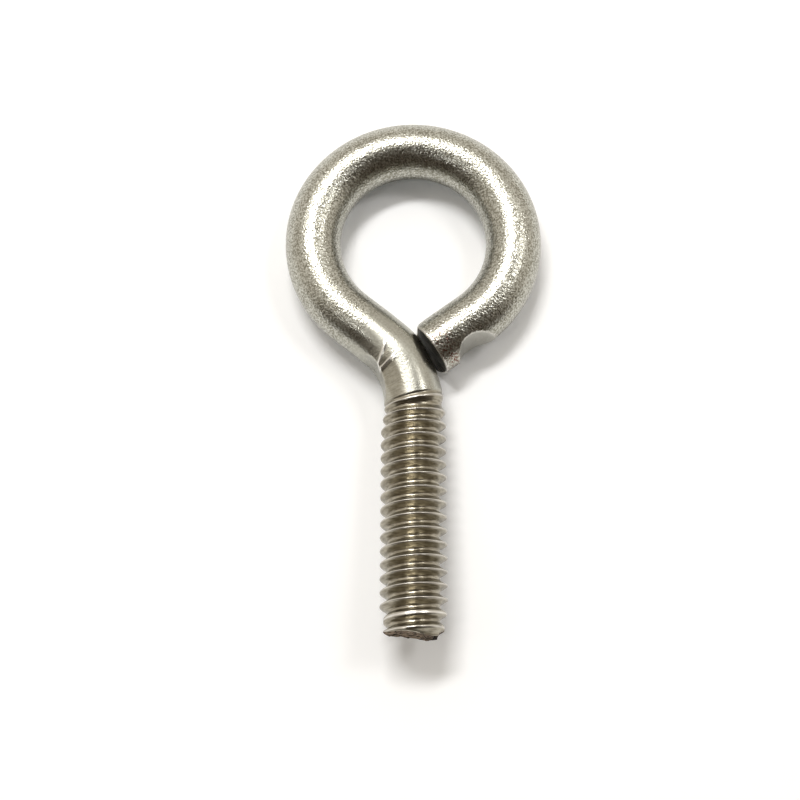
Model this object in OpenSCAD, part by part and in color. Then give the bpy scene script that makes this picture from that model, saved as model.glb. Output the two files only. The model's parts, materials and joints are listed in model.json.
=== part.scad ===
// Eye bolt bent from one length of round stainless wire, with an open eye and a rolled 1/4-20 thread.
// It lies as it comes to rest, on the far side of its eye and on the first full turn of its thread:
// X across the eye, Y along the bolt from the tip to the eye, Z up from the surface. The origin is at
// the middle of the outline's base.

/* [Wire] */
// Diameter of the bare wire, which is the blank that the thread is rolled on
wire_d = 5.4; // [4.4:0.1:5.8]

/* [Eye] */
// Inside diameter of the eye
eye_in = 14.3; // [11:0.1:24]
// Length of the straight leg between the eye's bend and the neck's bend
leg_len = 2.7; // [0.5:0.1:8]
// Radius of the neck's reverse bend, to the middle of the wire
neck_r = 10.5; // [8:0.1:14]
// Slope of the open tail, measured from the line across the eye
tail_angle = 36; // [30:0.5:42]
// Gap between the neck and the corner of the sheared tail
tail_gap = 0.55; // [0.1:0.05:2]
// Width of the rolled edge round the sheared tail
tail_edge = 0.35; // [0.1:0.05:0.8]

/* [Shank] */
// Angle at which the shank rises out of the plane of the eye
shank_rise = 5; // [0:0.5:8]
// Outside diameter of the screw thread
thread_d = 6.2; // [6.1:0.02:7.5]
// Distance from the neck's bend to the first full turn, over which the thread runs out
runout_len = 2.4; // [1:0.1:6]
// Length of the thread at its full diameter
thread_len = 15.9; // [8:0.1:60]

/* [Tip] */
// Length of the lead-in taper
taper_len = 1.3; // [0.6:0.1:3]
// Diameter of the wire's end after the taper
tip_d = 5.4; // [4.8:0.1:6]
// Length of the rounded end, from the taper to the sheared face
nose_len = 1.3; // [1.2:0.05:2.5]
// Diameter of the sheared face
nose_d = 4.4; // [3:0.1:4.6]
// Slant of the sheared face, which is lower on the left
shear_angle = 9; // [2:1:14]

/* [Mark of the closing die on the tail] */
// Distance from the tail's end to the deepest point
tail_mark_at = 3.85; // [3:0.05:5]
// Depth
tail_mark_depth = 0.53; // [0.2:0.01:0.7]
// Length on the side of the tail's end, which is the steeper
tail_mark_steep = 2.1; // [1.5:0.1:2.6]
// Length on the side of the eye
tail_mark_long = 2.9; // [2.2:0.1:4]
// Direction that it faces, where 0 is straight up and 90 is outward
tail_mark_turn = 67; // [40:1:90]

/* [Mark of the bending pin on the neck] */
// Distance from the lower end of the neck's bend to the deepest point
neck_mark_at = 6.7; // [5.5:0.1:7.5]
// Depth
neck_mark_depth = 0.53; // [0.2:0.01:0.7]
// Length on the side of the eye, which is the steeper
neck_mark_steep = 2; // [1.5:0.1:2.6]
// Length on the side of the shank
neck_mark_long = 5.2; // [3:0.1:5.4]
// Direction that it faces, where 0 is straight up and 90 is into the bend
neck_mark_turn = 84; // [60:1:90]

/* [Hidden] */
$fn = 64;

wire_r = wire_d / 2;
thread_r = thread_d / 2;
// The runout starts inside the neck, this far back and this far below the wire's surface, and has
// come out of the wire where the neck's bend ends
runout_back = 1.3;
runout_sink = 0.2;
runout_r = wire_r + 0.3 * (thread_r - wire_r);
// The eye's bend radius, to the middle of the wire
bend_r = eye_in / 2 + wire_r;

// The neck's bend is centred beside the shank, with the straight leg tangent to both bends
neck_y = -sqrt(pow(bend_r + neck_r, 2) + pow(leg_len, 2) - pow(neck_r, 2));
neck_centre = [-neck_r, neck_y];
// Direction from the eye's centre to the point where the leg leaves the eye
leg_angle = 360 + atan2(neck_y, -neck_r) - atan2(leg_len, bend_r + neck_r);
neck_sweep = leg_angle - 180;
eye_sweep = leg_angle + 90 - tail_angle;

// The tail starts a little way inside the eye's bend, and is a hair thinner so that it stays inside
lap = 0.2;
tail_r = wire_r - 0.02;
// It leaves the eye on the other side and stops tail_gap short of the neck
tail_start = bend_r * [sin(tail_angle), -cos(tail_angle)];
tail_dir = [-cos(tail_angle), -sin(tail_angle)];
tail_in = [-sin(tail_angle), cos(tail_angle)];
corner_from_neck = tail_start + wire_r * tail_in - neck_centre;
corner_reach = neck_r + wire_r + tail_gap;
along = corner_from_neck * tail_dir;
tail_len = -along - sqrt(along * along - corner_from_neck * corner_from_neck + pow(corner_reach, 2));

neck_mark_angle = neck_mark_at / neck_r * 180 / PI;
// How fast the hollow side of the neck curves towards a die that lies on it, for each millimetre squared
hollow = 1 / (2 * (neck_r - wire_r));

// Lengths along the shank, which starts at the lower end of the neck's bend
full_end = runout_len + thread_len;
shank_len = full_end + taper_len + nose_len;

// Lowest point of the first full turn, and the tilt that rests it and the eye's far side on the surface
foot_y = neck_y - runout_len * cos(shank_rise) - thread_r * sin(shank_rise);
foot_z = runout_len * sin(shank_rise) - thread_r * cos(shank_rise);
foot_slope = atan2(-foot_z, bend_r - foot_y);
rest_tilt = max(0, foot_slope - asin(wire_r / norm([bend_r - foot_y, foot_z])));

// Length of the outline at rest, from the eye's far side to the end of the shank. The low edge of the
// slanted face reaches a little past the end of the shank's length.
rise_at_rest = shank_rise + rest_tilt;
face_slant = tan(shear_angle) * cos(rise_at_rest);
face_reach = nose_d / 2 * (norm([face_slant, sin(rise_at_rest)]) - face_slant);
shank_reach = shank_len * cos(rise_at_rest) + face_reach;
overall_len = wire_r + (bend_r - neck_y) * cos(rest_tilt) + shank_reach;

// The eye's bend, the leg and the neck's bend, drawn with the leg upright and turned to its slope
module formed_wire() {
    rotate([0, 0, neck_sweep]) {
        rotate_extrude(start = 180, angle = -eye_sweep)
            translate([bend_r, 0]) circle(d = wire_d);
        translate([-bend_r, 0]) rotate([90, 0, 0]) cylinder(h = leg_len, d = wire_d);
        translate([-bend_r - neck_r, -leg_len])
            rotate_extrude(start = -neck_sweep, angle = neck_sweep)
                translate([neck_r, 0]) circle(d = wire_d);
    }
}

// The straight open tail, with the edge of its sheared end rolled over
module tail() {
    rotate([0, 0, tail_angle - 90]) translate([bend_r, lap]) rotate([90, 0, 0]) {
        cylinder(h = tail_len - tail_edge + lap, r = tail_r);
        translate([0, 0, tail_len - tail_edge + lap])
            cylinder(h = tail_edge, r1 = tail_r, r2 = wire_r - tail_edge);
    }
}

// The shank stands on the origin here: thread runout, full thread, lead-in taper and sheared end
module shank() {
    difference() {
        rotate_extrude() polygon([
            [0, -runout_back],
            [wire_r - runout_sink, -runout_back],
            [runout_r, 0],
            [thread_r, runout_len],
            [thread_r, full_end],
            [tip_d / 2, full_end + taper_len],
            [nose_d / 2, shank_len],
            [0, shank_len]
        ]);
        translate([nose_d / 2, 0, shank_len]) rotate([0, -shear_angle, 0])
            translate([-2 * thread_d, -thread_d, 0]) cube([4 * thread_d, 2 * thread_d, thread_d]);
    }
}

// Half of a die's outline beside the wire, where the wire runs along Y and X points out of it. The die
// is deepest at Y = 0 and leaves the wire's surface at Y = length. Hollow is that surface's own curve.
// The outline ends a little way past that, and before its circle turns back.
module half_die(depth, length, hollow) {
    radius = 1 / (2 * (depth / pow(length, 2) + hollow));
    reach = min(1.2 * length, 0.95 * radius);
    translate([wire_r - depth, 0]) intersection() {
        translate([radius, 0]) circle(radius);
        square([2 * wire_r, reach]);
    }
}

// A die lying across the wire at the origin, where the wire runs along Z and X faces outward
module die(depth, steep_len, long_len, turn, hollow = 0) {
    rotate([0, 0, 90 - turn]) rotate([90, 0, 0])
        linear_extrude(2 * wire_d, center = true) {
            half_die(depth, long_len, hollow);
            mirror([0, 1]) half_die(depth, steep_len, hollow);
        }
}

module tail_mark() {
    translate(tail_start + (tail_len - tail_mark_at) * tail_dir)
        rotate([0, 0, tail_angle - 90]) rotate([-90, 0, 0]) mirror([0, 1])
            die(tail_mark_depth, tail_mark_steep, tail_mark_long, tail_mark_turn);
}

module neck_mark() {
    translate(neck_centre) rotate([0, 0, neck_mark_angle]) translate([neck_r, 0])
        rotate([0, 0, 180]) rotate([90, 0, 0])
            die(neck_mark_depth, neck_mark_steep, neck_mark_long, neck_mark_turn, hollow);
}

module eye_bolt() {
    // The middle of the wire at the eye's far side is the point that the bolt tilts about
    color("silver") translate([0, overall_len / 2 - wire_r, wire_r])
        rotate([-rest_tilt, 0, 0]) translate([0, -bend_r, 0])
            difference() {
                union() {
                    formed_wire();
                    tail();
                    translate([0, neck_y]) rotate([90 - shank_rise, 0, 0]) shank();
                }
                tail_mark();
                neck_mark();
            }
}

eye_bolt();
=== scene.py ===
"""Looks of the eye bolt: bent stainless wire with a rolled thread, die marks and sheared ends."""
import json
from math import asin, atan2, cos, pi, radians, sin, sqrt

import bpy
import numpy as np
from mathutils import Matrix, Vector, noise


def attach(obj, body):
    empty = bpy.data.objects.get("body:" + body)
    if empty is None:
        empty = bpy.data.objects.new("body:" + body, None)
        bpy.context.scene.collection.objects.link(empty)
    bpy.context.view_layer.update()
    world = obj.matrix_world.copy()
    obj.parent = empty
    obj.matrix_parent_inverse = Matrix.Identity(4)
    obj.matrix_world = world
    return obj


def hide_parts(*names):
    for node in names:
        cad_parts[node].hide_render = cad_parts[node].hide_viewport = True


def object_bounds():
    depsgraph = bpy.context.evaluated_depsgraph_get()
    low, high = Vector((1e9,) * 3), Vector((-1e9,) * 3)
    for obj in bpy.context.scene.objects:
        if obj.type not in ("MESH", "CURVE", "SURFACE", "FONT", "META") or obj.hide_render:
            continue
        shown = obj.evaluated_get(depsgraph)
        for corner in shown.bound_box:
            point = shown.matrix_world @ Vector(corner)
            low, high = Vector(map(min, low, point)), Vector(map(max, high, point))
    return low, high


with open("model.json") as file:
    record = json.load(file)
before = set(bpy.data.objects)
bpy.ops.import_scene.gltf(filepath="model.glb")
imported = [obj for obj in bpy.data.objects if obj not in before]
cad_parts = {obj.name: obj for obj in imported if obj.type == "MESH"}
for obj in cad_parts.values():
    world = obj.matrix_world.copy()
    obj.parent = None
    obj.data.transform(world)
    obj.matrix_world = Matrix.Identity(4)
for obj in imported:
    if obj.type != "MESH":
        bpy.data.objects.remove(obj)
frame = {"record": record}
cad_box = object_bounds()
MM = 0.001

# Places that the frame gives, in millimetres
mounts = {mount["name"]: mount for mount in frame["record"]["mounts"]}
EYE_CENTRE = np.array(mounts["eye"]["pos_m"]) / MM
THREAD_R = mounts["thread"]["dims"]["r_mm"]
THREAD_LEN = mounts["thread"]["dims"]["length_mm"]

# Driving sizes of the wire, in millimetres and degrees
WIRE_R = 2.7
NECK_R = 10.5
LEG_LEN = 2.7
TAIL_ANGLE = 36
TAIL_GAP = 0.55
TAIL_EDGE = 0.18
RISE_BLEND = 1.5

# Driving sizes of the thread, which is 20 turns to the inch. CREST_AT is the place of a crest on the
# outer side of the wire, END_CUT is how much lower the crests are cut at the tip, and TIP_END is the
# distance along the wire to the middle of its sheared end.
PITCH = 1.27
ROOT_R = 2.38
CREST_FLAT = 0.05
ROOT_FLAT = 0.14
CREST_AT = 0.35
END_CUT = 0.38
TIP_END = 20.5

# Details that the tools left, in millimetres: the swell of the neck, how far the lower half of the
# tail's end reaches on, the depth and the length of its rolled corner, and the lip round the torn tip
NECK_SWELL = 0.27
TAIL_REACH = 0.35
CORNER_ROLL = 0.42
CORNER_LEN = 1.7
TIP_LIP = 0.09
TIP_RIM_R = 2.511

# Mesh density: the columns round the wire, the rows beside each crest and root of the thread, and the
# rings that close each sheared end, as shares of its radius down to its middle point
THETAS = np.arange(120) * 2 * pi / 120
END_SHARES = (0.96, 0.9, 0.82, 0.72, 0.62, 0.52, 0.42, 0.32, 0.22, 0.12, 0)
THREAD_OFFSETS = (0.05, 0.1, 0.17, 0.26, 0.35, 0.43, 0.49, 0.55)


# The eye's own axes: its plane is XY, its centre the origin, and the shank leaves along -Y and rises
eye_axis = np.array(mounts["eye"]["axis"])
FRAME_FROM_EYE = np.array(Matrix.Rotation(-atan2(eye_axis[1], eye_axis[2]), 3, "X"))
thread_axis = np.array(mounts["thread"]["axis"]) @ FRAME_FROM_EYE
thread_middle = (np.array(mounts["thread"]["pos_m"]) / MM - EYE_CENTRE) @ FRAME_FROM_EYE
RISE = asin(thread_axis[2])
BEND_R = cad_box[1].x / MM - WIRE_R


def to_frame(points):
    """Points in the eye's own axes, in millimetres, become points of the frame in metres."""
    return (np.asarray(points, float) @ FRAME_FROM_EYE.T + EYE_CENTRE) * MM


# Lengths along the wire's middle line. Distance s is 0 where the neck's bend ends and the shank starts,
# grows towards the tip and is negative towards the tail.
neck_y = -sqrt((BEND_R + NECK_R) ** 2 + LEG_LEN ** 2 - NECK_R ** 2)
leg_angle = 2 * pi + atan2(neck_y, -NECK_R) - atan2(LEG_LEN, BEND_R + NECK_R)
tail_slope = radians(TAIL_ANGLE)
neck_len = NECK_R * (leg_angle - pi)
eye_len = BEND_R * (leg_angle + pi / 2 - tail_slope)
tail_start = BEND_R * np.array([sin(tail_slope), -cos(tail_slope)])
tail_dir = np.array([-cos(tail_slope), -sin(tail_slope)])
tail_in = np.array([-sin(tail_slope), cos(tail_slope)])
corner = tail_start + WIRE_R * tail_in - np.array([-NECK_R, neck_y])
reach = NECK_R + WIRE_R + TAIL_GAP
tail_len = -corner @ tail_dir - sqrt((corner @ tail_dir) ** 2 - corner @ corner + reach ** 2)
NECK_TOP = -neck_len
LEG_TOP = NECK_TOP - LEG_LEN
EYE_TOP = LEG_TOP - eye_len
TAIL_END = EYE_TOP - tail_len
THREAD_START = (neck_y - thread_middle[1]) / cos(RISE) - THREAD_LEN / 2
THREAD_END = THREAD_START + THREAD_LEN
PATH_END = THREAD_END + 4
TABLE_STEP = 0.01


def smooth(low, high, x):
    """Rises smoothly from 0 at low to 1 at high."""
    t = np.clip((x - low) / (high - low), 0, 1)
    return t * t * (3 - 2 * t)


def soft_clamp(x, corner):
    """Clamps x to 0..1, with both corners rounded over that much of x."""
    low = np.where(x < -corner, 0, np.where(x < corner, (x + corner) ** 2 / (4 * corner), x))
    high = 1 - (1 - x + corner) ** 2 / (4 * corner)
    return np.where(x > 1 + corner, 1, np.where(x > 1 - corner, high, low))


# The middle line as a fine table: heading by heading, then summed up
table_s = np.arange(TAIL_END - 1, PATH_END, TABLE_STEP)
heading = np.interp(
    table_s,
    [TAIL_END, EYE_TOP, LEG_TOP, NECK_TOP, 0],
    [tail_slope, tail_slope, leg_angle + pi / 2, leg_angle + pi / 2, 1.5 * pi],
)
climb = RISE * smooth(-RISE_BLEND, RISE_BLEND, table_s)
table_t = np.column_stack([np.cos(heading) * np.cos(climb), np.sin(heading) * np.cos(climb), np.sin(climb)])
table_n = np.column_stack([np.sin(heading), -np.cos(heading), 0 * heading])
table_c = np.cumsum(table_t, axis=0) * TABLE_STEP
table_c += np.array([*tail_start, 0]) - table_c[np.searchsorted(table_s, EYE_TOP)]


def along(table, s):
    """Values of the table at that distance along the wire."""
    return np.column_stack([np.interp(s, table_s, table[:, i]) for i in range(3)])


def on_wire(s, theta, radius):
    """Points at that distance along the wire, that angle round it and that radius. Theta is 0 on top and 90
    degrees on the outer side: away from the eye's centre, and to the left on the shank."""
    tangent, outward = along(table_t, s), along(table_n, s)
    upward = np.cross(outward, tangent)
    across = np.cos(theta)[:, None] * upward + np.sin(theta)[:, None] * outward
    return along(table_c, s) + across * radius[:, None]


# Form of the surface: marks pressed by the forming dies, the thread and the two sheared ends.
# Each mark has its place along the wire, its depth, the length of its two sides, the power of the curve
# on the side nearer the tail's end, and the angle round the wire that it faces. The other power is 2.
TAIL_MARK = dict(at=TAIL_END + 3.5, depth=1.02, tail_side=1.95, tail_power=3, tip_side=2.1, turn=86)
NECK_MARK = dict(at=-6.7, depth=0.53, tail_side=2.0, tail_power=2, tip_side=5.2, turn=84)
TAIL_MARK_LIP = 0.05
# The radius that stands for no limit, where a die or a cut faces away from the surface
NO_LIMIT = 99
# The flat that the bending tool rubbed on the upper left of the neck, and the two edges across it, each
# from one place along the wire and one angle round it, in degrees, to another
RUB_TURN = 36
RUB_DEPTH = 0.1
RUB_EDGES = ((-7.2, 9, -6.15, 42), (-5.74, 10, -5.4, 54))


def die_limit(s, theta, at, depth, tail_side, tail_power, tip_side, turn):
    """Radius of a die that lies across the wire."""
    side = np.where(s < at, tail_side, tip_side)
    away = np.minimum(np.abs(s - at) / side, 3)
    level = WIRE_R - depth * (1 - away ** np.where(s < at, tail_power, 2))
    facing = np.cos(theta - radians(turn))
    return np.where(facing > 0.2, level / np.maximum(facing, 0.2), NO_LIMIT)


def pressed(radius, s, theta, mark, lip):
    """Cuts the surface off under a die, with a raised lip round the mark."""
    limit = die_limit(s, theta, **mark)
    raised = radius + lip * np.exp(-((limit - radius - 0.05) / 0.06) ** 2)
    return lower_of(raised, limit, 0.03)


def lower_of(a, b, blend):
    """The lower of two surfaces, with the corner between them rounded."""
    h = np.clip(0.5 + 0.5 * (b - a) / blend, 0, 1)
    return b * (1 - h) + a * h - blend * h * (1 - h)


def tail_face(theta):
    """Place along the wire of the tail's sheared end, whose lower half reaches on towards the neck."""
    return TAIL_END - TAIL_REACH * smooth(0.1, 0.9, -np.cos(theta))


def rolled_corner(radius, s, theta):
    """The inner corner of the tail, which the shears rolled over."""
    level = WIRE_R - CORNER_ROLL * np.clip(1 - (s - TAIL_END) / CORNER_LEN, 0, 1) ** 2
    facing = -np.sin(theta)
    limit = np.where(facing > 0.3, level / np.maximum(facing, 0.3), NO_LIMIT)
    return np.where(s < TAIL_END + CORNER_LEN, lower_of(radius, limit, 0.15), radius)


def edge_line(edge, theta):
    """Place along the wire of an edge that runs slanted round it."""
    s_1, turn_1, s_2, turn_2 = edge
    return s_1 + (np.degrees(theta) - turn_1) * (s_2 - s_1) / (turn_2 - turn_1)


def wrapped(theta):
    """The same angle from -180 to 180 degrees, in radians."""
    return (theta + pi) % (2 * pi) - pi


def edge_lips(s, angle, first_width, second_width):
    """1 on the two edges of the flat, fading out over those widths."""
    first, second = (edge_line(edge, angle) for edge in RUB_EDGES)
    return np.exp(-((s - first) / first_width) ** 2) + np.exp(-((s - second) / second_width) ** 2)


def groove_start(theta):
    """Place along the wire where the thread's first groove begins."""
    return -1.62 + 0.2 * np.sin(theta)


def swell(s, theta):
    """How far the outside of the neck's bend swelled where the pin pressed the inside in."""
    along_neck = smooth(-9, -6, s) * (1 - smooth(-1.2, 2.5, s))
    return NECK_SWELL * along_neck * smooth(-0.1, 1, -np.sin(theta))


def rubbed(radius, s, theta):
    """The tool's flat on the neck, with a raised edge where it begins and another across it."""
    angle = wrapped(theta)
    first, second = (edge_line(edge, angle) for edge in RUB_EDGES)
    width = smooth(radians(2), radians(12), angle) * (1 - smooth(radians(52), radians(70), angle))
    depth = RUB_DEPTH * smooth(0, 1.2, s - first) * (1 - smooth(-4.4, -1.8, s))
    depth += 0.06 * smooth(0, 0.24, s - second) * (1 - smooth(-3.5, -1.9, s))
    facing = np.maximum(np.cos(angle - radians(RUB_TURN)), 0.3)
    flat = lower_of(radius, (WIRE_R - depth) / facing, 0.06)
    lip = 0.045 * np.exp(-((s - first) / 0.14) ** 2) + 0.035 * np.exp(-((s - second + 0.04) / 0.1) ** 2)
    lip += 0.025 * np.exp(-((s - second - 0.22) / 0.09) ** 2)
    return np.where((s > -8) & (s < -1.5), flat + width * lip, radius)


def from_crest(s, theta):
    """Distance along the wire from the nearest crest of the thread."""
    turns = (s - CREST_AT) / PITCH - (theta - pi / 2) / (2 * pi)
    return (turns - np.round(turns)) * PITCH


def thread_radius(s, theta):
    """The helical thread, which runs out into the bare wire at the neck and is cut lower at the tip."""
    off_crest = from_crest(s, theta)
    flank = PITCH / 2 - ROOT_FLAT - CREST_FLAT
    share = soft_clamp((PITCH / 2 - ROOT_FLAT - np.abs(off_crest)) / flank, 0.14)
    # The crests grow to full height later underneath, so that they stay above the table
    below = smooth(0, 0.6, -np.cos(theta))
    crest = WIRE_R + (THREAD_R - WIRE_R) * smooth(-1.6 + 0.6 * below, THREAD_START - 0.2 + 0.55 * below, s)
    start = groove_start(theta)
    opened = 0.55 * smooth(-0.1, 0.1, s - start) + 0.45 * smooth(0.1, 1.8, s - start)
    root = WIRE_R - (WIRE_R - ROOT_R) * opened
    # At the tip each turn's crest is cut to one height, less on top, where the shears left a burr
    crest_s = s - off_crest
    burr = 0.8 * smooth(TIP_END - 0.9, TIP_END - 0.2, crest_s) * np.maximum(np.cos(theta), 0)
    cut = smooth(THREAD_END, THREAD_END + 1.1, crest_s)
    top = THREAD_R + 0.02 - END_CUT * cut * (1 - burr)
    return lower_of(root + (crest - root) * share, top, 0.05 + 0.2 * cut)


def tip_face(x, h):
    """Distance along the wire of the sheared end, x to the right and h above the middle line. The end slants,
    and has a torn ridge and a notch on the right."""
    slant = TIP_END + 0.13 * x + 0.27 * smooth(0.3, 2.4, h) + 0.25 * smooth(0.8, 2.4, -x)
    ridge = 0.3 * np.exp(-((x - 1.3) / 0.5) ** 2 - ((h + 0.2) / 1.3) ** 2)
    notch = 0.5 * smooth(1.6, 2.1, x) * (1 - smooth(0.6, 1.4, np.abs(h)))
    return slant + ridge - notch


def torn(x, h):
    """Roughness of the sheared tip, in millimetres."""
    coarse = noise.noise(Vector((x * 1.6, h * 1.6, 7.3)))
    fine = noise.noise(Vector((x * 5.0, h * 5.0, 2.1)))
    return 0.16 * coarse + 0.07 * fine


def tip_rim(theta):
    """Distance along the wire of the edge round the sheared tip."""
    return tip_face(-TIP_RIM_R * np.sin(theta), TIP_RIM_R * np.cos(theta))


def surface_radius(s, theta):
    """Radius of the finished surface, with the thread, the marks and the rolled ends."""
    radius = np.where(s > -2.0, thread_radius(s, theta), WIRE_R)
    lip = TIP_LIP * np.exp(-((s - tip_rim(theta) + 0.06) / 0.1) ** 2)
    radius = radius + lip * smooth(-0.2, 0.6, np.cos(theta)) + swell(s, theta)
    radius = pressed(radius, s, theta, TAIL_MARK, TAIL_MARK_LIP)
    radius = pressed(radius, s, theta, NECK_MARK, 0)
    radius = rolled_corner(rubbed(radius, s, theta), s, theta)
    turned_over = np.clip(1 - (s - tail_face(theta)) / TAIL_EDGE, 0, 1)
    return radius - TAIL_EDGE * (1 - np.sqrt(1 - turned_over ** 2))


def column_steps(theta):
    """Where the surface is sampled along one column, with a row on each edge of the thread."""
    rim = tail_face(theta) + TAIL_EDGE * (1 - np.cos(np.linspace(0, pi / 2, 7)))
    # The rows lie close together on the tail's mark and the neck's flat, and wider apart between them
    tail = np.linspace(rim[-1] + 0.08, TAIL_END + 7.5, 80)
    eye = np.linspace(TAIL_END + 7.8, -9.8, 150)
    neck = [np.linspace(-9.7, -7.5, 18), np.linspace(-7.44, -5.1, 60), np.linspace(-5.02, -2.03, 28)]
    first_crest = CREST_AT + PITCH * (theta - pi / 2) / (2 * pi)
    crests = first_crest + PITCH * np.arange(-5, 22)
    steps = [0, PITCH / 2, *THREAD_OFFSETS, *(-d for d in THREAD_OFFSETS)]
    grooves = np.sort((crests[:, None] + np.array(steps)).ravel())
    end = tip_rim(theta)
    grooves = grooves[(grooves > -1.95) & (grooves < end - 0.23)]
    return np.concatenate([rim, tail, eye, *neck, grooves, end - np.array([0.2, 0.15, 0.1, 0.05, 0])])


def strip(first, second, first_s, second_s):
    """Triangles between two neighbouring columns, taken in the order of their steps."""
    order = np.argsort(np.concatenate([first_s[1:], second_s[1:]]), kind="stable")
    from_first = order < len(first) - 1
    i = np.cumsum(from_first) - from_first
    j = np.cumsum(~from_first) - ~from_first
    next_first = first[np.minimum(i + 1, len(first) - 1)]
    next_second = second[np.minimum(j + 1, len(second) - 1)]
    return np.column_stack([first[i], second[j], np.where(from_first, next_first, next_second)])


def ring_fan(outer, inner):
    """Triangles between two rings of as many points, or between a ring and its middle point."""
    a, b = outer, np.roll(outer, -1)
    if len(inner) == 1:
        return np.column_stack([a, b, np.full(len(a), inner[0])])
    c, d = inner, np.roll(inner, -1)
    return np.concatenate([np.column_stack([a, b, d]), np.column_stack([a, d, c])])


def end_ring(at_tip, rim_r, share):
    """One ring of a sheared end, or its middle point where the share is 0: the places of its points along
    the wire and round it, and their radius."""
    theta = THETAS if share else THETAS[:1]
    radius = rim_r[: len(theta)] * share
    if not at_tip:
        return TAIL_END + (tail_face(theta) - TAIL_END) * share ** 2, theta, radius
    x, h = -radius * np.sin(theta), radius * np.cos(theta)
    return tip_face(x, h) + np.array([torn(a, b) for a, b in zip(x, h)]), theta, radius


def wire_mesh():
    """The whole wire: its triangles and their kinds, which are 0 on the round surface, 1 on the tail's
    sheared end and 2 on the tip's, and its points' places: along the wire, round it and their radius."""
    steps = [column_steps(theta) for theta in THETAS]
    lengths = [len(s) for s in steps]
    columns = np.split(np.arange(sum(lengths)), np.cumsum(lengths)[:-1])
    s, theta = np.concatenate(steps), np.repeat(THETAS, lengths)
    places = [(s, theta, surface_radius(s, theta))]
    faces = []
    for i in range(len(THETAS)):
        j = (i + 1) % len(THETAS)
        faces.append(strip(columns[i], columns[j], steps[i], steps[j]))
    kinds = [0] * len(faces)
    count = len(s)
    # Each end is closed by rings that shrink to its middle point
    for at_tip in (False, True):
        outer = np.array([column[-1 if at_tip else 0] for column in columns])
        rim_r = surface_radius(s[outer], theta[outer])
        for share in END_SHARES:
            places.append(end_ring(at_tip, rim_r, share))
            inner = np.arange(count, count + len(places[-1][0]))
            fan = ring_fan(outer, inner)
            faces.append(fan if at_tip else fan[:, ::-1])
            kinds.append(2 if at_tip else 1)
            outer = inner
            count += len(inner)
    kinds = np.repeat(kinds, [len(f) for f in faces])
    return np.concatenate(faces), kinds, *(np.concatenate(values) for values in zip(*places))


def new_mesh(name, points, faces):
    mesh = bpy.data.meshes.new(name)
    mesh.vertices.add(len(points))
    mesh.vertices.foreach_set("co", np.asarray(points, np.float32).ravel())
    mesh.loops.add(faces.size)
    mesh.loops.foreach_set("vertex_index", faces.ravel().astype(np.int32))
    mesh.polygons.add(len(faces))
    mesh.polygons.foreach_set("loop_start", np.arange(0, faces.size, 3, dtype=np.int32))
    mesh.polygons.foreach_set("loop_total", np.full(len(faces), 3, dtype=np.int32))
    mesh.update(calc_edges=True)
    mesh.validate()
    mesh.shade_smooth()
    piece = bpy.data.objects.new(name, mesh)
    bpy.context.scene.collection.objects.link(piece)
    return piece


def paint(piece, name, values):
    """Stores one number, or one row of three, for each point of the mesh, for the materials to read."""
    kind = "FLOAT" if values.ndim == 1 else "FLOAT_VECTOR"
    attribute = piece.data.attributes.new(name, kind, "POINT")
    attribute.data.foreach_set("value" if values.ndim == 1 else "vector", values.astype(np.float32).ravel())


def paint_wire(wire, s, theta, radius):
    """Paints where the materials change, from each point's place along and round the wire."""
    side = wrapped(theta)
    on_neck = s > -8

    # Rubbed matt and brown: the whole thread, and the tool's flat on the neck
    on_flat = smooth(-0.05, 0.05, s - edge_line(RUB_EDGES[0], side)) * smooth(radians(6), radians(16), side)
    on_flat *= 1 - smooth(radians(75), radians(105), side)
    on_thread = smooth(-0.08, 0.08, s - groove_start(theta))
    paint(wire, "rubbed", np.maximum(on_thread, 0.5 * on_flat * on_neck))

    # Painted highlights, on partly burnished metal: the two edges across the flat, the thread's crests and
    # the rim of the tail's end
    bright = edge_lips(s, side, 0.17, 0.14) * smooth(radians(4), radians(12), side)
    bright *= (1 - smooth(radians(56), radians(70), side)) * on_neck
    bright += 0.5 * on_thread * np.exp(-(from_crest(s, theta) / 0.075) ** 2)
    # A painted highlight on the cut crests near the tip
    at_taper = np.exp(-(from_crest(s, theta) / 0.14) ** 2 - ((s - (TIP_END - 1.4)) / 0.45) ** 2)
    bright += 0.5 * at_taper * np.maximum(np.cos(theta), 0)
    bright += 0.8 * np.exp(-((s - tail_face(theta) - 0.08) / 0.1) ** 2)
    # A painted highlight on the lip round the tail's mark, stronger underneath, and a painted reflection that
    # makes the mark a little brighter than the wire
    above_die = die_limit(s, theta, **TAIL_MARK) - WIRE_R
    bright += (0.35 + 0.6 * smooth(1.75, 2.1, np.abs(side))) * np.exp(-((above_die - 0.04) / 0.07) ** 2)
    in_mark = 1 - smooth(-0.06, 0.02, above_die)
    paint(wire, "edge", np.minimum(bright + 0.25 * in_mark, 1))

    # Brown dirt round the sheared end of the tail
    near_end = np.exp(-((s - TAIL_END - 0.9) / 0.9) ** 2)
    paint(wire, "dirt", near_end * smooth(0, 1, np.cos(side - radians(75)) + 0.4))
    # The strength of the grain: less on the neck, which the pin smoothed, and in the tail's mark
    paint(wire, "grain", (1 - 0.76 * smooth(-12.5, -8.5, s)) * (1 - 0.75 * in_mark))

    # Place along the wire and round it, and place on the sheared ends, to the right and up
    paint(wire, "wire_place", np.column_stack([s, WIRE_R * np.sin(theta), WIRE_R * np.cos(theta)]))
    face_x, face_h = -radius * np.sin(theta), radius * np.cos(theta)
    paint(wire, "face_place", np.column_stack([face_x, face_h, s]))
    # Painted shade: a dark spot in the notch at the lower right of the torn tip
    in_pit_shade = np.exp(-((face_x - 1.75) / 0.5) ** 2 - ((face_h + 0.9) / 1.1) ** 2)
    paint(wire, "pit_shade", in_pit_shade * (s > TIP_END - 1.5))


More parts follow.
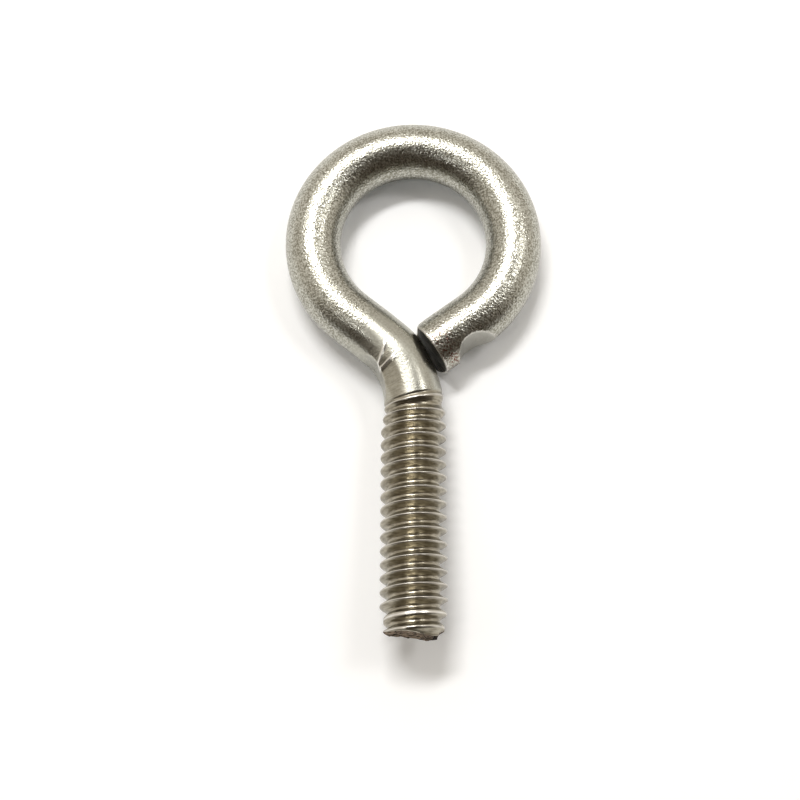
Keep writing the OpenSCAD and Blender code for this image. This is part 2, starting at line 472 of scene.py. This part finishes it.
# Materials, with the colours of the wire and of its two sheared ends
PLAIN_STEEL = (0.4, 0.395, 0.345)
GRAIN_DARK, GRAIN_LIGHT = (0.24, 0.23, 0.186), (0.55, 0.545, 0.49)
RUBBED_DARK, RUBBED_LIGHT = (0.21, 0.187, 0.142), (0.39, 0.358, 0.285)
# A pale colour for painted highlights, on partly burnished metal
BURNISH_AND_HIGHLIGHT = (0.88, 0.86, 0.82)
DIRT = (0.13, 0.035, 0.02)
# The tail's sheared end is painted near black, as painted shade, because it faces the neck and lies in its
# shade
SHADED_CUT_DARK, SHADED_CUT_LIGHT = (0.01, 0.008, 0.006), (0.17, 0.15, 0.12)
TORN_DARK, TORN_LIGHT = (0.02, 0.015, 0.01), (0.5, 0.39, 0.285)
# Painted shade in the notch of the torn tip
PIT_SHADE = (0.006, 0.005, 0.004)


def node_material(name):
    material = bpy.data.materials.new(name)
    material.use_nodes = True
    tree = material.node_tree
    return material, tree, tree.nodes["Principled BSDF"]


def linked_node(tree, kind, **links):
    """A new node, with the given outputs linked to its inputs. An underscore in a name stands for a space."""
    node = tree.nodes.new(kind)
    for name, output in links.items():
        tree.links.new(output, node.inputs[name.replace("_", " ")])
    return node


def stored(tree, name, output):
    node = tree.nodes.new("ShaderNodeAttribute")
    node.attribute_name = name
    return node.outputs[output]


def noise_texture(tree, vector, scale, detail):
    """Scale is in grains for each unit of the vector: a metre for the object, a millimetre where painted."""
    node = linked_node(tree, "ShaderNodeTexNoise", Vector=vector)
    node.inputs["Scale"].default_value = scale
    node.inputs["Detail"].default_value = detail
    return node.outputs["Fac"]


def stretched(tree, vector, scale):
    node = linked_node(tree, "ShaderNodeMapping", Vector=vector)
    node.inputs["Scale"].default_value = scale
    return node.outputs["Vector"]


def ramp(tree, value, *stops):
    """Colours or greys by value: each stop is its value and its colour."""
    node = linked_node(tree, "ShaderNodeValToRGB", Fac=value)
    elements = node.color_ramp.elements
    while len(elements) < len(stops):
        elements.new(0.5)
    for element, (at, colour) in zip(elements, stops):
        element.position = at
        element.color = (*colour, 1) if isinstance(colour, tuple) else (colour, colour, colour, 1)
    return node.outputs["Color"]


def colour_mix(tree, share, first, second):
    """First where share is 0, second where it is 1. Each is a colour or a node's output."""
    node = tree.nodes.new("ShaderNodeMix")
    node.data_type = "RGBA"
    tree.links.new(share, node.inputs["Factor"])
    for name, colour in (("A", first), ("B", second)):
        socket = next(i for i in node.inputs if i.name == name and i.type == "RGBA")
        if isinstance(colour, tuple):
            socket.default_value = (*colour, 1)
        else:
            tree.links.new(colour, socket)
    return next(o for o in node.outputs if o.type == "RGBA")


def math_node(tree, operation, first, second):
    """One number made from two nodes' outputs."""
    node = tree.nodes.new("ShaderNodeMath")
    node.operation = operation
    tree.links.new(first, node.inputs[0])
    tree.links.new(second, node.inputs[1])
    return node.outputs[0]


def bump(tree, height, distance, strength=1.0, normal=None):
    """Distance is in metres."""
    node = linked_node(tree, "ShaderNodeBump", Height=height)
    node.inputs["Distance"].default_value = distance
    if isinstance(strength, float):
        node.inputs["Strength"].default_value = strength
    else:
        tree.links.new(strength, node.inputs["Strength"])
    if normal:
        tree.links.new(normal, node.inputs["Normal"])
    return node.outputs["Normal"]


def satin_steel():
    """Tumbled stainless wire with a sparkling grain, which is matt and brown where rubbed or threaded."""
    material, tree, shader = node_material("satin_steel")
    shader.inputs["Metallic"].default_value = 1
    here = tree.nodes.new("ShaderNodeTexCoord").outputs["Object"]
    place = stored(tree, "wire_place", "Vector")
    rubbed_share = stored(tree, "rubbed", "Fac")
    dirt_share = stored(tree, "dirt", "Fac")
    # The share of painted highlight, on partly burnished metal
    highlight_share = stored(tree, "edge", "Fac")
    grain_share = stored(tree, "grain", "Fac")

    blotches = noise_texture(tree, here, 700, 3)
    lines = noise_texture(tree, stretched(tree, place, (7, 1.1, 1.1)), 1, 2)
    speckle = noise_texture(tree, here, 5800, 1)
    speckled = ramp(tree, speckle, (0.38, GRAIN_DARK), (0.62, GRAIN_LIGHT))
    brown = ramp(tree, lines, (0.36, RUBBED_DARK), (0.64, RUBBED_LIGHT))
    steel = colour_mix(tree, grain_share, PLAIN_STEEL, speckled)
    colour = colour_mix(tree, rubbed_share, steel, brown)
    # Painted highlights, on partly burnished metal: edges, crests and rims
    colour = colour_mix(tree, highlight_share, colour, BURNISH_AND_HIGHLIGHT)
    spots = ramp(tree, noise_texture(tree, here, 5200, 1), (0.52, 0), (0.62, 1))
    colour = colour_mix(tree, math_node(tree, "MULTIPLY", spots, dirt_share), colour, DIRT)
    tree.links.new(colour, shader.inputs["Base Color"])

    roughness = ramp(tree, blotches, (0.3, 0.25), (0.7, 0.32))
    roughness = colour_mix(tree, rubbed_share, roughness, (0.29, 0.29, 0.29))
    roughness = colour_mix(tree, highlight_share, roughness, (0.32, 0.32, 0.32))
    tree.links.new(roughness, shader.inputs["Roughness"])

    grain = noise_texture(tree, here, 5000, 1)
    normal = bump(tree, grain, 0.000045, grain_share)
    normal = bump(tree, lines, 0.00002, rubbed_share, normal)
    tree.links.new(normal, shader.inputs["Normal"])
    return material


def sheared_face(name, metallic, dark, light, roughness, streaks, depth):
    """A face where the wire was cut off: torn metal with streaks across it."""
    material, tree, shader = node_material(name)
    shader.inputs["Metallic"].default_value = metallic
    shader.inputs["Roughness"].default_value = roughness
    shader.inputs["Specular IOR Level"].default_value = 0.1
    place = stretched(tree, stored(tree, "face_place", "Vector"), streaks)
    tear = noise_texture(tree, place, 1, 4)
    colour = ramp(tree, tear, (0.38, dark), (0.62, light))
    # Painted shade darkens the notch of the torn tip
    colour = colour_mix(tree, stored(tree, "pit_shade", "Fac"), colour, PIT_SHADE)
    tree.links.new(colour, shader.inputs["Base Color"])
    tree.links.new(bump(tree, tear, depth), shader.inputs["Normal"])
    return material


faces, kinds, place_s, place_theta, place_r = wire_mesh()
wire = new_mesh("bent_wire", to_frame(on_wire(place_s, place_theta, place_r)), faces)
wire.data.polygons.foreach_set("material_index", kinds.astype(np.int32))
paint_wire(wire, place_s, place_theta, place_r)
wire.data.materials.append(satin_steel())
# The tail's sheared end, darkened with painted shade
wire.data.materials.append(
    sheared_face("sheared_tail", 0.8, SHADED_CUT_DARK, SHADED_CUT_LIGHT, 0.4, streaks=(1.2, 5, 1), depth=0.00012)
)
wire.data.materials.append(
    sheared_face("torn_tip", 0, TORN_DARK, TORN_LIGHT, 0.7, streaks=(2, 4, 3), depth=0.0004)
)
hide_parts("eye_bolt")
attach(wire, "root")


# Stage
SQUARE = np.array([[-1, -1, 0], [1, -1, 0], [1, 1, 0], [-1, 1, 0]])
SQUARE_FACES = np.array([[0, 1, 2], [0, 2, 3]])
TABLE_HALF = 2.0


def table_top():
    """A white table, which glows a little where it is seen near the bolt, and to full white farther off."""
    piece = new_mesh("table", SQUARE * TABLE_HALF, SQUARE_FACES)
    material, tree, shader = node_material("white_table")
    shader.inputs["Base Color"].default_value = (0.97, 0.97, 0.97, 1)
    shader.inputs["Roughness"].default_value = 0.9
    shader.inputs["Specular IOR Level"].default_value = 0
    path = tree.nodes.new("ShaderNodeLightPath").outputs
    seen = math_node(tree, "MAXIMUM", path["Is Camera Ray"], path["Is Glossy Ray"])
    seen = math_node(tree, "MAXIMUM", seen, path["Is Transmission Ray"])
    here = tree.nodes.new("ShaderNodeTexCoord").outputs["Object"]
    distance = linked_node(tree, "ShaderNodeVectorMath", Vector=here)
    distance.operation = "LENGTH"
    # The share of the glow at each distance from the middle of the bolt, in metres
    glow = ramp(tree, distance.outputs["Value"], (0.07, 0.07), (0.3, 1))
    shader.inputs["Emission Color"].default_value = (0.88, 0.96, 1, 1)
    tree.links.new(math_node(tree, "MULTIPLY", seen, glow), shader.inputs["Emission Strength"])
    piece.data.materials.append(material)


table_top()


# Light
def direction(azimuth, elevation):
    """Unit vector from the bolt: azimuth 0 is away from the camera along +Y and 90 is to the right, +X."""
    a, e = radians(azimuth), radians(elevation)
    return Vector((sin(a) * cos(e), cos(a) * cos(e), sin(e)))


def softbox(name, azimuth, elevation, distance, width, height, radiance):
    """A rectangular lamp that faces the bolt, with its sizes in metres. Radiance is how bright it looks in
    the steel, and Cycles makes it from the energy divided by four times the area."""
    light = bpy.data.lights.new(name, "AREA")
    light.shape = "RECTANGLE"
    light.size = width
    light.size_y = height
    light.energy = radiance * 4 * width * height
    lamp = bpy.data.objects.new(name, light)
    lamp.location = direction(azimuth, elevation) * distance
    lamp.rotation_mode = "QUATERNION"
    lamp.rotation_quaternion = (-lamp.location).to_track_quat("-Z", "Y")
    bpy.context.scene.collection.objects.link(lamp)


softbox("key_light", azimuth=338, elevation=62, distance=0.5, width=0.22, height=0.07, radiance=24)
softbox("side_light", azimuth=64, elevation=54, distance=0.5, width=0.1, height=0.1, radiance=9)
softbox("small_light", azimuth=232, elevation=61, distance=0.5, width=0.06, height=0.05, radiance=10)


def dark_card(name, corners, faces):
    """A dark warm card that the camera doesn't see: the steel mirrors it, and it shades the table."""
    piece = new_mesh(name, corners, faces)
    material, tree, shader = node_material(name)
    shader.inputs["Base Color"].default_value = (0.12, 0.1, 0.08, 1)
    shader.inputs["Roughness"].default_value = 1
    shader.inputs["Specular IOR Level"].default_value = 0
    piece.data.materials.append(material)
    piece.visible_camera = False


def curved_card(name, start, end, radius, low, high, columns=25):
    """A card that stands round the bolt, from one azimuth to another."""
    azimuths = np.radians(np.linspace(start, end, columns))
    foot = np.column_stack([np.sin(azimuths), np.cos(azimuths), 0 * azimuths]) * radius
    corners = np.concatenate([foot + [0, 0, low], foot + [0, 0, high]])
    i = np.arange(columns - 1)
    above = i + columns
    lower, upper = np.column_stack([i, i + 1, above + 1]), np.column_stack([i, above + 1, above])
    dark_card(name, corners, np.concatenate([lower, upper]))


def top_card(name, azimuth, elevation, distance, width, height):
    """A flat card that faces the bolt from above."""
    corners = SQUARE * (width / 2, height / 2, 0)
    centre = direction(azimuth, elevation) * distance
    turn = (-centre).to_track_quat("-Z", "Y").to_matrix()
    dark_card(name, corners @ np.array(turn).T + np.array(centre), SQUARE_FACES)


curved_card("near_card", start=105, end=251, radius=0.6, low=0.01, high=1.05)
top_card("top_card", azimuth=140, elevation=76, distance=0.6, width=0.75, height=0.55)

# A cream room, which the steel mirrors between the lamps and the cards
world = bpy.data.worlds.new("studio")
bpy.context.scene.world = world
world.use_nodes = True
world.node_tree.nodes["Background"].inputs["Color"].default_value = (0.85, 0.795, 0.715, 1)
world.node_tree.nodes["Background"].inputs["Strength"].default_value = 1

# Camera: the photograph's view, measured from the eye's centre in the eye's own axes
CAMERA_TARGET = (-1.283, -15.997, 0)
CAMERA_DISTANCE = 119.15
CAMERA_ELEVATION = 74.67
CAMERA_SWING = 0.79
CAMERA_ROLL = -0.705
camera_data = bpy.data.cameras.new("camera")
camera_data.sensor_width = 36
camera_data.lens = 56.42
camera_data.clip_start = 0.01
camera_data.clip_end = 20
camera = bpy.data.objects.new("camera", camera_data)
aim = Matrix.Rotation(radians(CAMERA_SWING), 3, "Z") @ Matrix.Rotation(radians(90 - CAMERA_ELEVATION), 3, "X")
aim = np.array(aim @ Matrix.Rotation(radians(CAMERA_ROLL), 3, "Z"))
camera_place = to_frame(np.array(CAMERA_TARGET) + aim[:, 2] * CAMERA_DISTANCE)
camera.matrix_world = Matrix.Translation(camera_place) @ Matrix((FRAME_FROM_EYE @ aim).tolist()).to_4x4()
bpy.context.scene.collection.objects.link(camera)
bpy.context.scene.camera = camera
bpy.context.scene.view_settings.view_transform = "Standard"
